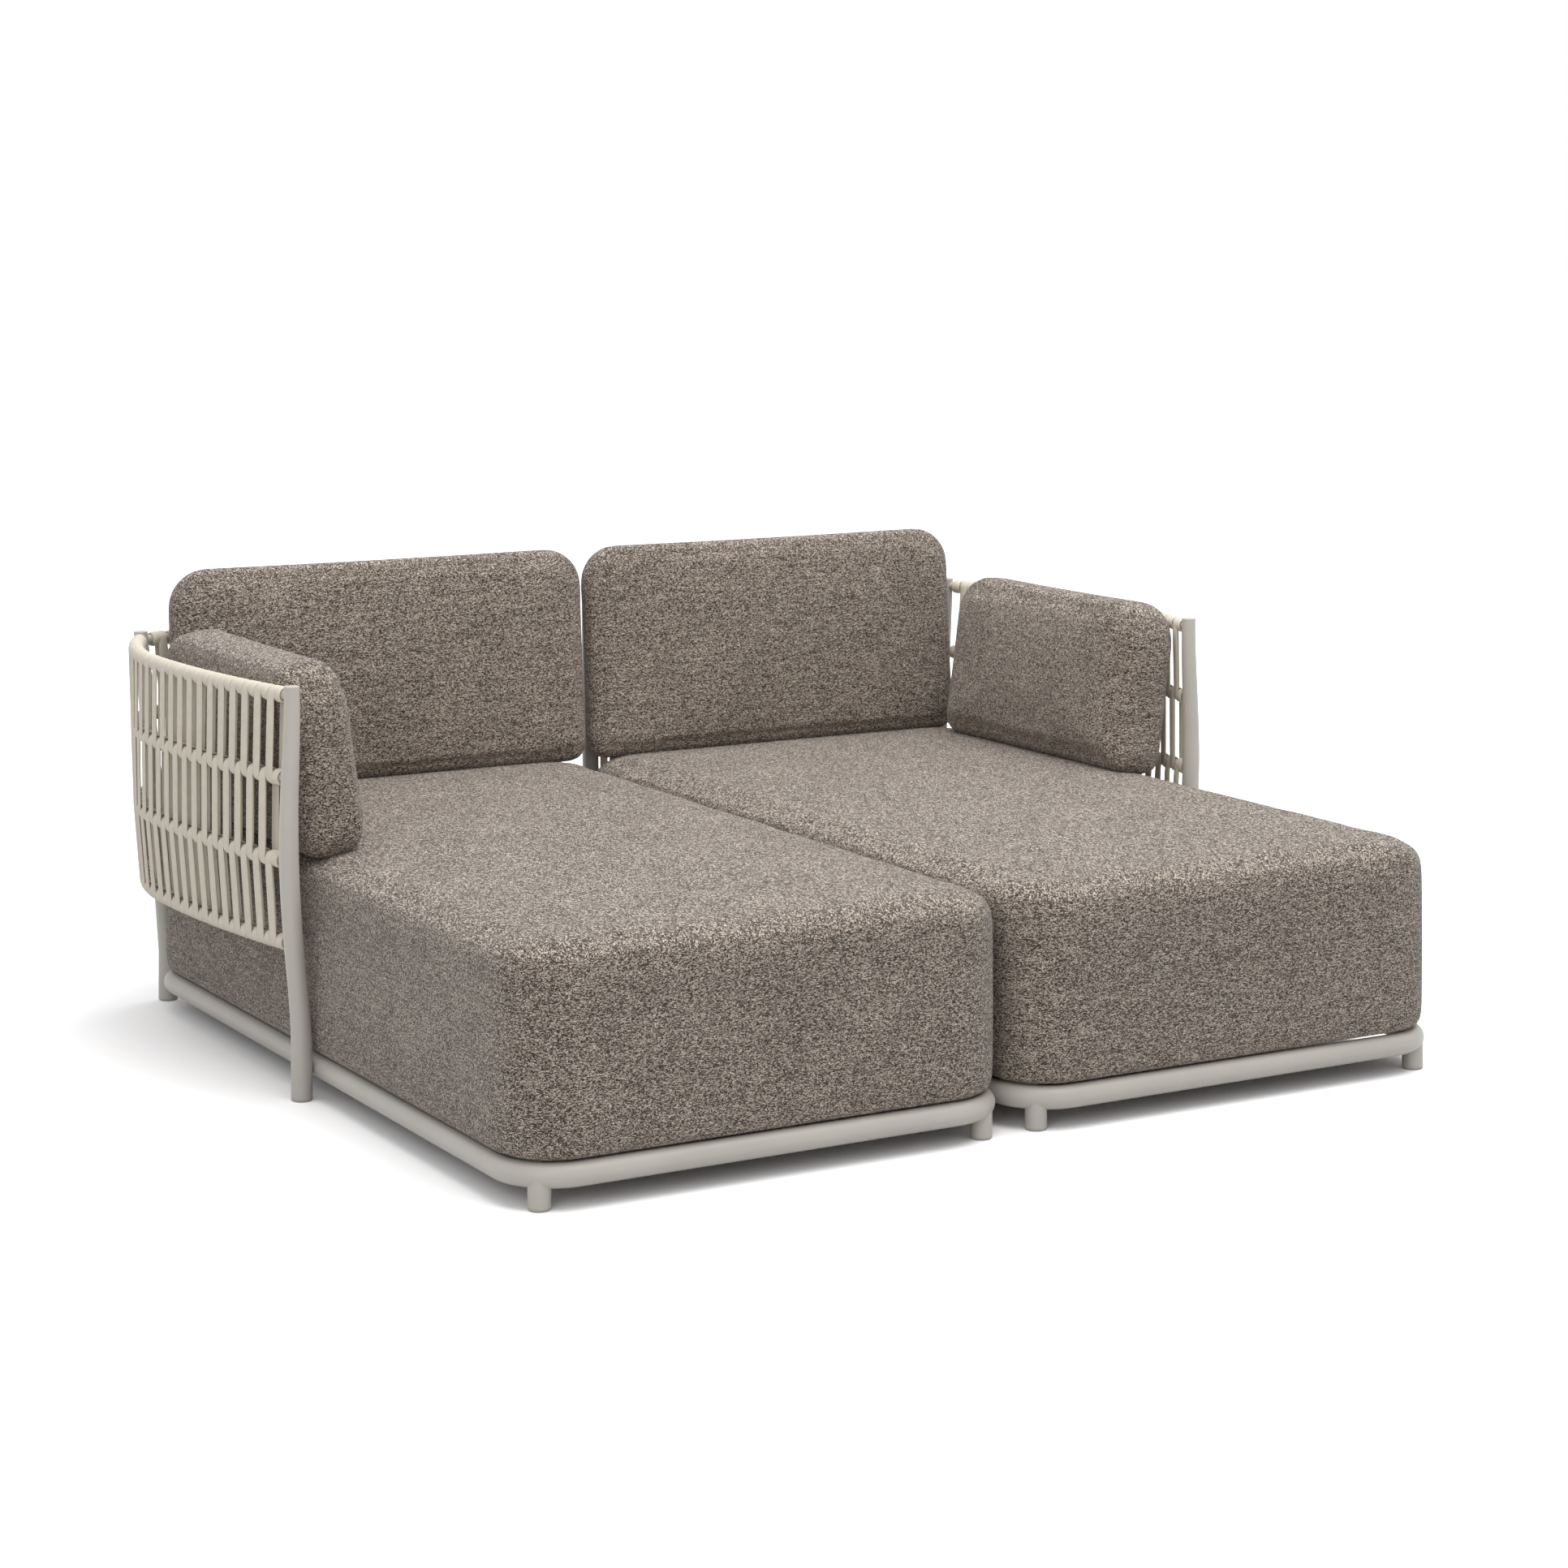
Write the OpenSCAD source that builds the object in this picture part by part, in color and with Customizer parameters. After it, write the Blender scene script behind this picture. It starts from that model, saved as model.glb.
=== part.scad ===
// Double daybed: two mirrored modules side by side, each a tube ring on short legs with a
// thick seat block, rope-wound arm and back panels, a back cushion and a side cushion.
// X runs across the pair, Y from front to back, Z up; the origin is on the floor in the middle.

/* [Base ring] */
// Width of one module over its ring
ring_w = 985; // [800:1:1150]
// Depth of one module over its ring
ring_l = 1783; // [1600:1:1950]
// Outside diameter of the ring tube
ring_d = 42; // [36:0.5:46]
// Wall of the ring tube
ring_wall = 2; // [1.5:0.1:3]
// Bend radius of the ring's corners, at the middle of the tube
ring_corner_r = 100; // [90:1:130]
// Free height under the ring
ring_ground = 36; // [36:1:50]
// Free gap between the two rings
module_gap = 4; // [3:0.5:20]
// Cross bars that carry the seat block in each ring
deck_bars_n = 8; // [4:1:9]
// Width of a cross bar
deck_bar_w = 40; // [25:1:60]
// Height of a cross bar
deck_bar_h = 20; // [15:1:26]
// How far the bars lie under the top of the ring
deck_drop = 2; // [1:0.5:6]

/* [Legs and posts] */
// Outside diameter of a leg or post at the floor
leg_d = 40; // [34:0.5:40]
// Wall of the legs and posts
leg_wall = 2.5; // [2:0.1:3]
// Height of the whole arm and back posts
post_h = 768; // [740:1:800]
// Height up to which a post is straight and upright
post_straight_h = 100; // [90:1:120]
// Place of the arm post along the ring, from its front
arm_post_at = 889; // [800:1:950]
// How far the top of the arm post leans out
arm_post_out = 20; // [10:1:30]
// Extra bow of the arm post at half height
arm_post_bow = 15; // [5:1:20]
// How far the top of the corner post leans sideways
corner_post_out = 53; // [40:1:60]
// How far the tops of the rear posts lean back
rear_post_back = 20; // [10:1:30]
// Place of the rear posts round the ring's corners, from straight back
rear_post_angle = 33; // [28:1:38]
// Place of the front legs round the ring's corners, from straight ahead
front_leg_angle = 40; // [34:1:45]
// Thickness of the flat cap on a post
cap_h = 3; // [2:0.5:5]
// Height of the glide under a leg
glide_h = 6; // [5:0.5:10]
// Rounding at the bottom of a glide
glide_round = 5; // [2:0.5:5]
// Length of the glide's plug inside the leg
glide_plug_h = 20; // [12:1:28]

/* [Rails and rope] */
// How far the middle of the top rail lies below the tops of the posts
rail_drop = 18; // [13:1:33]
// Height from rail to rail
rail_pitch = 153; // [145:1:157]
// Outside diameter of a bare rail
rail_d = 20; // [16:0.5:22]
// Wall of a rail
rail_wall = 2; // [1.5:0.1:3]
// Sideways swell of the lowest arm rail
arm_swell_low = 54; // [40:1:60]
// Sideways swell of the top arm rail
arm_swell_top = 64; // [60:1:70]
// Widest place of the arm panel, from the front of the ring
arm_wide_at = 1429; // [1380:1:1480]
// Backward swell of the back rails
back_swell = 60; // [50:1:70]
// Thickness of the flat rope
rope_t = 4; // [3:0.1:5]
// Width of the flat rope
rope_w = 22.5; // [15:0.5:25]
// Pitch of the rope strands along a rail
rope_pitch = 44; // [36:0.5:60]
// First strand from the middle of a post
rope_first = 50; // [45:1:80]
// Step along a rail from a strand outside to its strand inside
rope_slip = 6; // [2:0.5:10]
// Bare end of a rail beside a post
collar_l = 8; // [4:0.5:14]

/* [Seat block] */
// Height of the top edge of the seat block over the floor
seat_edge_z = 428; // [405:1:435]
// Rise of the seat's crown over its edge
seat_crown = 12; // [6:0.5:20]
// Rounding of the seat's top edge
seat_top_round = 32; // [20:1:45]
// Rounding of the seat's bottom edge
seat_bottom_round = 15; // [8:1:25]
// Outward swell of the seat's sides
seat_swell = 1; // [0:0.5:1]

/* [Back cushion] */
// How much narrower a back cushion is than its module
back_side_gap = 31; // [29:1:135]
// Height of a back cushion
back_h = 470; // [400:1:500]
// Thickness of a back cushion at its edges
back_t = 80; // [74:1:81]
// Crown of the front face of a back cushion
back_crown_front = 14; // [8:0.5:30]
// Crown of the rear face of a back cushion, which follows the back panel
back_crown_rear = 42; // [20:0.5:44]
// Lean of a back cushion
back_lean = 4.5; // [3:0.1:4.6]
// Air between the back cushion's edge and the top of the inner post
back_post_gap = 2.2; // [2:0.1:20]
// Radius of a back cushion's top corners
back_corner_top = 84; // [60:1:110]
// Radius of a back cushion's bottom corners
back_corner_low = 42; // [41:1:80]
// Rounding of a back cushion's edges
back_round = 36; // [30:1:40]

/* [Side cushion] */
// Length of a side cushion
side_l = 715; // [600:1:730]
// Height of a side cushion
side_h = 369; // [320:1:400]
// Thickness of a side cushion at its edges
side_t = 130; // [105:1:131]
// Crown of the inner face of a side cushion
side_crown_in = 18; // [6:0.5:30]
// Crown of the face of a side cushion towards the arm
side_crown_out = 10; // [6:0.5:11]
// Lean of a side cushion
side_lean = 8.2; // [7.5:0.1:8.3]
// Middle of the side cushion's foot, inside the edge of the seat
side_inset = 70; // [68:1:90]
// Gap between the arm post's middle and the front end of the side cushion
side_front_gap = 20; // [18:1:60]
// Radius of a side cushion's top corners
side_corner_top = 95; // [60:1:120]
// Radius of a side cushion's bottom corners
side_corner_low = 44; // [41:1:80]
// Rounding of a side cushion's edges
side_round = 40; // [30:1:40]

/* [Fastenings] */
// Diameter of the bolts that hold the posts to the ring
bolt_d = 8; // [6:0.5:10]
// Diameter of a bolt head
bolt_head_d = 13; // [12:0.5:16]
// Height of a bolt head
bolt_head_h = 4.5; // [3:0.5:8]
// Diameter of the link plates' screws
link_screw_d = 6; // [4:0.5:8]
// Length of a link plate along the ring
link_l = 60; // [40:1:100]
// Thickness of a link plate
link_t = 6; // [4:0.5:8]

/* [Hidden] */

frame_paint = "#c9c2b8";
rope_cream = "#d8cfbd";
deck_grey = "#8f8a84";
glide_dark = "#4a4845";
steel = "#9a9a98";
fabric_taupe = "#7a6d63";

$fn = 48;
// Rails in a panel: three rows of strands lie between them
rails_n = 4;
rail_top_z = post_h - rail_drop;
// Overrun of a cut past the face it opens
over = 1;
// Air between a soft piece and what it lies on
soft_gap = 0.3;
// Air between a bolt and its hole, all round
bolt_gap = 0.2;
// Air between two pieces that are welded or pressed together
seat_gap = 0.1;
// Room for the weld at a rail's end, enough for a leaning post
weld_gap = 1.1;

// The ring: half sizes and places of the tube's middle, measured from its own front corner
ring_r = ring_d/2;
ring_z = ring_ground + ring_r;
ring_top = ring_ground + ring_d;
ring_x_in = module_gap/2 + ring_r;
ring_x_out = module_gap/2 + ring_w - ring_r;
ring_y_front = ring_r;
ring_y_rear = ring_l - ring_r;
// Middles of the four corner bends
bend_x_in = ring_x_in + ring_corner_r;
bend_x_out = ring_x_out - ring_corner_r;
bend_y_front = ring_y_front + ring_corner_r;
bend_y_rear = ring_y_rear - ring_corner_r;

leg_r = leg_d/2;
leg_bore_r = leg_r - leg_wall;
// Distance of a post's middle from the middle of the ring tube that it stands against
post_off = ring_r + leg_r + seat_gap;
arm_post_xy = [ring_x_out + post_off, arm_post_at];
corner_post_xy = [
    bend_x_out + (ring_corner_r + post_off)*sin(rear_post_angle),
    bend_y_rear + (ring_corner_r + post_off)*cos(rear_post_angle)
];
inner_post_xy = [
    bend_x_in - (ring_corner_r + post_off)*sin(rear_post_angle),
    bend_y_rear + (ring_corner_r + post_off)*cos(rear_post_angle)
];
// Heights along the leaning part of a post, and its radius there, as shares
post_taper_shares = [[0, 1], [0.15, 0.93], [0.57, 0.92], [0.84, 0.8], [1, 0.725]];
post_rings = 9;
post_sides = 20;
// The tapered part starts inside the straight foot, a little thinner than its wall
post_lap = 10;
post_step = 0.1;
// Shape of the bow: a smooth hump that is 1 at half height
bow_scale = 16;

function post_share(z) = (z - post_straight_h)/(post_h - cap_h - post_straight_h);
function post_hump(t) = bow_scale*t*t*(1 - t)*(1 - t);
function post_r_at(z) = leg_r*lookup(max(post_share(z), 0), post_taper_shares);
function lean_at(xy, top, bow, z) =
    let (t = max(post_share(z), 0)) [xy[0] + top[0]*t + bow*post_hump(t), xy[1] + top[1]*t];
function arm_post_pos(z) = lean_at(arm_post_xy, [arm_post_out, 0], arm_post_bow, z);
function corner_post_pos(z) = lean_at(corner_post_xy, [corner_post_out, rear_post_back], 0, z);
function inner_post_pos(z) = lean_at(inner_post_xy, [0, rear_post_back], 0, z);

rail_r = rail_d/2;
wrap_r = rail_r + rope_t;
rail_zs = [for (i = [0:rails_n - 1]) rail_top_z - (rails_n - 1 - i)*rail_pitch];

// Long, flat arcs get many steps; their sizes lie on a grid, so that two arcs meet face to face
arc_fn = 720;
tube_fn = 48;
place_grid = 0.1;
function on_grid(v) = place_grid*round(v/place_grid);

// An arm rail is two arcs that meet where the panel is widest, side by side with the ring
function arm_swell(i) = arm_swell_low + (arm_swell_top - arm_swell_low)*i/(rails_n - 1);
function arm_wide_x(i) = on_grid(arm_post_pos(rail_zs[i])[0] + arm_swell(i));
function front_run(i) = arm_wide_at - arm_post_pos(rail_zs[i])[1];
function rear_run(i) = corner_post_pos(rail_zs[i])[1] - arm_wide_at;
function rear_in(i) = arm_wide_x(i) - corner_post_pos(rail_zs[i])[0];
function arc_r(run, rise) = on_grid((run*run + rise*rise)/(2*rise));
function front_r(i) = arc_r(front_run(i), arm_swell(i));
function rear_r(i) = arc_r(rear_run(i), rear_in(i));
function front_turn(i) = asin(front_run(i)/front_r(i));
function rear_turn(i) = asin(rear_run(i)/rear_r(i));
function arc_len(r, turn) = r*turn*PI/180;
function arc_turn(r, len) = len/r*180/PI;
function arm_len(i) = arc_len(front_r(i), front_turn(i)) + arc_len(rear_r(i), rear_turn(i));
// Place on an arm rail at a length along it: x, y and the outward direction
function arm_spot(i, s) =
    let (
        s1 = arc_len(front_r(i), front_turn(i)),
        r = s < s1 ? front_r(i) : rear_r(i),
        turn = arc_turn(r, s - s1)
    )
    [arm_wide_x(i) - r + r*cos(turn), arm_wide_at + r*sin(turn), turn];

// A back rail is one arc between the corner post and the inner post
function back_half(i) = (corner_post_pos(rail_zs[i])[0] - inner_post_pos(rail_zs[i])[0])/2;
function back_mid(i) = (corner_post_pos(rail_zs[i])[0] + inner_post_pos(rail_zs[i])[0])/2;
function back_r(i) = arc_r(back_half(i), back_swell);
function back_turn(i) = asin(back_half(i)/back_r(i));
function back_y(i) = corner_post_pos(rail_zs[i])[1] + back_swell - back_r(i);
function back_len(i) = 2*arc_len(back_r(i), back_turn(i));
function back_spot(i, s) =
    let (turn = 90 - back_turn(i) + arc_turn(back_r(i), s))
    [back_mid(i) + back_r(i)*cos(turn), back_y(i) + back_r(i)*sin(turn), turn];

// The pair's own depth puts the origin in its middle
rear_face = corner_post_pos(rail_zs[rails_n - 1])[1] + back_swell + wrap_r;
mid_y = (rear_face - seat_swell)/2;

// Seat block: it lies on the ring and follows it in plan
seat_bottom = ring_top + soft_gap;
seat_corner_r = ring_corner_r + ring_r;
seat_mid = [module_gap/2 + ring_w/2, ring_l/2];
// The seat's crown is flat and falls fast at its edge; a cushion's crown is round
seat_crown_power = 8;
function crown_rise(s, power) = 1 - pow(s, power);
function seat_top_at(half, inset) =
    inset < seat_top_round
    ? seat_edge_z - seat_top_round + sqrt(inset*(2*seat_top_round - inset))
    : seat_edge_z
        + seat_crown*crown_rise((half - inset)/(half - seat_top_round), seat_crown_power);

// The skins' flats lie this far inside their true rounds
skin_sag = 0.5;
// A leaning cushion's lowest edge reaches a little under the middle of its foot
function foot_drop(t, round, lean) = round*(1 - cos(lean)) + (t/2 - round)*sin(lean);

module placed(side) {
    translate([0, -mid_y, 0])
        if (side < 0) mirror([1, 0, 0]) children();
        else children();
}

// Closed skins: rings of points joined by triangles
function skin_band(i, k, n) = [
    for (j = [0:n - 1])
        let (a = i*n + j, b = i*n + (j + 1) % n, c = k*n + (j + 1) % n, d = k*n + j)
        each [[a, d, c], [a, c, b]]
];
function skin_sides(rings, n) = [for (i = [0:rings - 2]) each skin_band(i, i + 1, n)];
function skin_caps(rings, n) = [
    for (j = [0:n - 1])
        each [[j, (j + 1) % n, rings*n],
              [(rings - 1)*n + (j + 1) % n, (rings - 1)*n + j, rings*n + 1]]
];
function circle_at(xy, r, z, n) =
    [for (j = [0:n - 1]) [xy[0] + r*cos(360*j/n), xy[1] + r*sin(360*j/n), z]];

// Cushions: rounded outlines, pulled in along their sides, stacked over the thickness
corner_steps = 6;
side_steps = 4;
edge_steps = 3;
seat_crown_shares = [0.93, 0.78, 0.42];
cushion_crown_shares = [0.8, 0.58, 0.3];
cushion_crown_power = 2;
side_draw = 1.5;
outline_n = 4*(corner_steps + 1 + side_steps);
function dir(a) = [cos(a), sin(a)];
function corner_mid(k, half, rs, inset) =
    let (r = rs[k] - inset)
    [(k == 0 || k == 3 ? 1 : -1)*(half[0] - inset - r), (k < 2 ? 1 : -1)*(half[1] - inset - r)];
function outline(half, rs, inset) = [
    for (k = [0:3])
        let (
            next = (k + 1) % 4,
            c = corner_mid(k, half, rs, inset),
            from = c + (rs[k] - inset)*dir(90*(k + 1)),
            to = corner_mid(next, half, rs, inset) + (rs[next] - inset)*dir(90*(k + 1))
        )
        each concat(
            [for (i = [0:corner_steps]) c + (rs[k] - inset)*dir(90*(k + i/corner_steps))],
            [for (j = [1:side_steps])
                let (u = j/(side_steps + 1))
                from + (to - from)*u - 4*side_draw*u*(1 - u)*dir(90*(k + 1))]
        )
];
function lifted(points, z) = [for (p = points) [p[0], p[1], z]];
// rs: corner radii; low and high: edge rounding, crown of the lower and the upper face;
// crown: its power, and the shares of the outline that its rings stand on
function cushion_rings(half, rs, h, swell, low, high, crown) = concat(
    [for (i = [len(crown[1]) - 1:-1:0])
        let (s = crown[1][i])
        lifted(s*outline(half, rs, low[0]), -low[1]*crown_rise(s, crown[0]))],
    [for (i = [0:edge_steps])
        let (a = 90*i/edge_steps)
        lifted(outline(half, rs, low[0]*(1 - sin(a))), low[0]*(1 - cos(a)))],
    [lifted(outline(half, rs, -swell), h/2)],
    [for (i = [0:edge_steps])
        let (a = 90*i/edge_steps)
        lifted(outline(half, rs, high[0]*(1 - cos(a))), h - high[0]*(1 - sin(a)))],
    [for (s = crown[1])
        lifted(s*outline(half, rs, high[0]), h + high[1]*crown_rise(s, crown[0]))]
);
module cushion(half, rs, h, swell, low, high, crown) {
    rings = cushion_rings(half, rs, h, swell, low, high, crown);
    polyhedron(
        points = concat([for (r = rings) each r], [[0, 0, -low[1]], [0, 0, h + high[1]]]),
        faces = concat(skin_sides(len(rings), outline_n), skin_caps(len(rings), outline_n)),
        convexity = 2
    );
}

module ring_tube(r) {
    for (x = [ring_x_in, ring_x_out])
        translate([x, bend_y_front, ring_z])
            rotate([-90, 0, 0]) cylinder(h = bend_y_rear - bend_y_front, r = r);
    for (y = [ring_y_front, ring_y_rear])
        translate([bend_x_in, y, ring_z])
            rotate([0, 90, 0]) cylinder(h = bend_x_out - bend_x_in, r = r);
    ring_bend([bend_x_out, bend_y_rear], 0, r);
    ring_bend([bend_x_in, bend_y_rear], 90, r);
    ring_bend([bend_x_in, bend_y_front], 180, r);
    ring_bend([bend_x_out, bend_y_front], 270, r);
}
module ring_bend(xy, turn, r) {
    translate([xy[0], xy[1], ring_z])
        rotate([0, 0, turn])
            rotate_extrude(angle = 90) translate([ring_corner_r, 0]) circle(r = r);
}
// Puts its children at a post bolt, with Z from the ring's tube to the post
module at_post_bolts() {
    translate([ring_x_out, arm_post_at, ring_z]) rotate([0, 90, 0]) children();
    translate([bend_x_out, bend_y_rear, ring_z])
        rotate([0, 0, 90 - rear_post_angle])
            translate([ring_corner_r, 0, 0]) rotate([0, 90, 0]) children();
    translate([bend_x_in, bend_y_rear, ring_z])
        rotate([0, 0, 90 + rear_post_angle])
            translate([ring_corner_r, 0, 0]) rotate([0, 90, 0]) children();
}
// The two places along the ring where a link plate is screwed on
link_shares = [0.27, 0.73];
module at_links() {
    for (s = link_shares) translate([ring_x_in, s*ring_l, ring_ground]) children();
}
module base_ring(side) {
    color(frame_paint) placed(side) difference() {
        ring_tube(ring_r);
        ring_tube(ring_r - ring_wall);
        at_post_bolts()
            cylinder(h = 2*(ring_r + over), r = bolt_d/2 + bolt_gap, center = true);
        at_links()
            translate([0, 0, -over])
                cylinder(h = ring_wall + 2*over, r = link_screw_d/2 + bolt_gap);
    }
}

// Cross bars, cut to the round of the ring's side tubes and clear of the bolt heads
deck_pitch = (bend_y_rear - bend_y_front - deck_bar_w)/(deck_bars_n - 1);
module deck_bars(side) {
    color(deck_grey) placed(side) difference() {
        for (i = [0:deck_bars_n - 1])
            translate([ring_x_in, bend_y_front + i*deck_pitch,
                       ring_top - deck_drop - deck_bar_h])
                cube([ring_x_out - ring_x_in, deck_bar_w, deck_bar_h]);
        for (x = [ring_x_in, ring_x_out])
            translate([x, bend_y_front - over, ring_z])
                rotate([-90, 0, 0])
                    cylinder(h = bend_y_rear - bend_y_front + 2*over, r = ring_r + seat_gap);
        at_post_bolts()
            translate([0, 0, -ring_r - bolt_head_h - bolt_gap])
                cylinder(h = bolt_head_h + ring_r, d = bolt_head_d + 2*bolt_gap);
    }
}

// Short front legs, under the ring's front bends
module at_front_legs() {
    translate([bend_x_out + ring_corner_r*sin(front_leg_angle),
               bend_y_front - ring_corner_r*cos(front_leg_angle), 0]) children();
    translate([bend_x_in - ring_corner_r*sin(front_leg_angle),
               bend_y_front - ring_corner_r*cos(front_leg_angle), 0]) children();
}
module front_legs(side) {
    color(frame_paint) placed(side) difference() {
        at_front_legs()
            translate([0, 0, glide_h]) difference() {
                cylinder(h = ring_z - glide_h, r = leg_r);
                translate([0, 0, -over])
                    cylinder(h = ring_z + over, r = leg_bore_r);
            }
        ring_bend([bend_x_out, bend_y_front], 270, ring_r + seat_gap);
        ring_bend([bend_x_in, bend_y_front], 180, ring_r + seat_gap);
    }
}
module glide(plug_h) {
    rotate_extrude() {
        square([leg_r - glide_round, glide_h]);
        translate([0, glide_round]) square([leg_r, glide_h - glide_round]);
        intersection() {
            translate([leg_r - glide_round, glide_round]) circle(r = glide_round);
            square([leg_r, glide_round]);
        }
    }
    cylinder(h = glide_h + plug_h, r = leg_bore_r - seat_gap);
}
// A front leg is short, so its plug stops below the ring
front_plug_h = ring_ground - glide_h - ring_wall;
module glides(side) {
    color(glide_dark) placed(side) {
        at_front_legs() glide(min(front_plug_h, glide_plug_h));
        for (xy = [arm_post_xy, corner_post_xy, inner_post_xy])
            translate([xy[0], xy[1], 0]) glide(glide_plug_h);
    }
}

// A post: a straight foot of round tube that tapers and leans above
module post(xy, top, bow) {
    difference() {
        translate([xy[0], xy[1], glide_h]) cylinder(h = post_straight_h - glide_h, r = leg_r);
        translate([xy[0], xy[1], 0]) cylinder(h = post_h, r = leg_bore_r);
        at_post_bolts() cylinder(h = post_off, r = bolt_d/2 + bolt_gap);
    }
    top_z = post_h - cap_h;
    zs = concat([post_straight_h - post_lap],
                [for (i = [0:post_rings - 2])
                    post_straight_h + (top_z - post_straight_h)*i/(post_rings - 2)]);
    skins = concat(
        [for (z = zs) circle_at(lean_at(xy, top, bow, z), post_r_at(z) - post_step, z, post_sides)],
        [for (i = [post_rings - 1:-1:0])
            circle_at(lean_at(xy, top, bow, zs[i]), post_r_at(zs[i]) - leg_wall + post_step,
                      zs[i], post_sides)]
    );
    polyhedron(
        points = [for (s = skins) each s],
        faces = concat(skin_sides(2*post_rings, post_sides),
                       skin_band(2*post_rings - 1, 0, post_sides)),
        convexity = 4
    );
}
module arm_post(side) {
    color(frame_paint) placed(side) post(arm_post_xy, [arm_post_out, 0], arm_post_bow);
}
module corner_post(side) {
    color(frame_paint) placed(side) post(corner_post_xy, [corner_post_out, rear_post_back], 0);
}
module inner_post(side) {
    color(frame_paint) placed(side) post(inner_post_xy, [0, rear_post_back], 0);
}
module post_caps(side) {
    color(frame_paint) placed(side)
        for (xy = [arm_post_pos(post_h - cap_h), corner_post_pos(post_h - cap_h),
                   inner_post_pos(post_h - cap_h)])
            translate([xy[0], xy[1], post_h - cap_h])
                cylinder(h = cap_h, r = post_r_at(post_h - cap_h));
}
module post_bolts(side) {
    color(steel) placed(side) at_post_bolts() {
        translate([0, 0, -ring_r - bolt_head_h]) cylinder(h = bolt_head_h, d = bolt_head_d);
        translate([0, 0, -ring_r]) cylinder(h = ring_r + post_off - leg_bore_r + leg_wall,
                                            d = bolt_d);
    }
}

// Rails end square, a weld's width short of each post; the wraps stop a collar's length short
module tube_section(r, hole_r) {
    difference() {
        circle(r = r, $fn = tube_fn);
        circle(r = hole_r, $fn = tube_fn);
    }
}
module arm_run(i, r, hole_r, cut) {
    front_cut = arc_turn(front_r(i), cut);
    rear_cut = arc_turn(rear_r(i), cut);
    translate([arm_wide_x(i) - front_r(i), arm_wide_at, rail_zs[i]])
        mirror([0, 1, 0])
            rotate_extrude(angle = front_turn(i) - front_cut, $fn = arc_fn)
                translate([front_r(i), 0]) tube_section(r, hole_r);
    translate([arm_wide_x(i) - rear_r(i), arm_wide_at, rail_zs[i]])
        rotate_extrude(angle = rear_turn(i) - rear_cut, $fn = arc_fn)
            translate([rear_r(i), 0]) tube_section(r, hole_r);
}
module back_run(i, r, hole_r, cut) {
    end_cut = arc_turn(back_r(i), cut);
    translate([back_mid(i), back_y(i), rail_zs[i]])
        rotate([0, 0, 90 - back_turn(i) + end_cut])
            rotate_extrude(angle = 2*(back_turn(i) - end_cut), $fn = arc_fn)
                translate([back_r(i), 0]) tube_section(r, hole_r);
}
module arm_rails(side) {
    color(frame_paint) placed(side)
        for (i = [0:rails_n - 1])
            arm_run(i, rail_r, rail_r - rail_wall, post_r_at(rail_zs[i]) + weld_gap);
}
module back_rails(side) {
    color(frame_paint) placed(side)
        for (i = [0:rails_n - 1])
            back_run(i, rail_r, rail_r - rail_wall, post_r_at(rail_zs[i]) + weld_gap);
}
module arm_rail_wraps(side) {
    color(rope_cream) placed(side)
        for (i = [0:rails_n - 1])
            arm_run(i, wrap_r, rail_r + seat_gap, post_r_at(rail_zs[i]) + collar_l);
}
module back_rail_wraps(side) {
    color(rope_cream) placed(side)
        for (i = [0:rails_n - 1])
            back_run(i, wrap_r, rail_r + seat_gap, post_r_at(rail_zs[i]) + collar_l);
}

// Strands: flat rope pulled straight from rail to rail, an outside and an inside one in each loop
strand_off = wrap_r - rope_t/2;
strand_reach = sqrt(wrap_r*wrap_r - (wrap_r - rope_t)*(wrap_r - rope_t));
function strand_count(len) = round((len - 2*rope_first)/rope_pitch);
module strand(low, high, off) {
    turn = (low[2] + high[2])/2;
    step = [high[0] - low[0], high[1] - low[1]];
    out = step[0]*cos(turn) + step[1]*sin(turn);
    along = step[1]*cos(turn) - step[0]*sin(turn);
    translate([(low[0] + high[0])/2, (low[1] + high[1])/2, 0])
        rotate([0, 0, turn])
            rotate([-atan(along/rail_pitch), atan(out/rail_pitch), 0])
                translate([off, 0, 0])
                    cube([rope_t, rope_w, rail_pitch - 2*(strand_reach + seat_gap)], center = true);
}
// One row of loops between two rails of an arm; odd rows start half a pitch later
module arm_row(row) {
    n = strand_count(arm_len(row));
    late = row % 2;
    translate([0, 0, (rail_zs[row] + rail_zs[row + 1])/2])
        for (k = [0:n - late], off = [strand_off, -strand_off]) {
            s = (rope_first + (arm_len(row) - 2*rope_first)*(k + late/2)/n)/arm_len(row);
            slip = off < 0 ? rope_slip : 0;
            strand(arm_spot(row, s*arm_len(row) - slip),
                   arm_spot(row + 1, s*arm_len(row + 1) - slip), off);
        }
}
module back_row(row) {
    n = strand_count(back_len(row));
    late = row % 2;
    translate([0, 0, (rail_zs[row] + rail_zs[row + 1])/2])
        for (k = [0:n - late], off = [strand_off, -strand_off]) {
            s = (rope_first + (back_len(row) - 2*rope_first)*(k + late/2)/n)/back_len(row);
            slip = off < 0 ? rope_slip : 0;
            strand(back_spot(row, s*back_len(row) - slip),
                   back_spot(row + 1, s*back_len(row + 1) - slip), off);
        }
}
module arm_strands(side, row) {
    color(rope_cream) placed(side) arm_row(row);
}
module back_strands(side) {
    color(rope_cream) placed(side)
        for (row = [0:rails_n - 2]) back_row(row);
}

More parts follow.
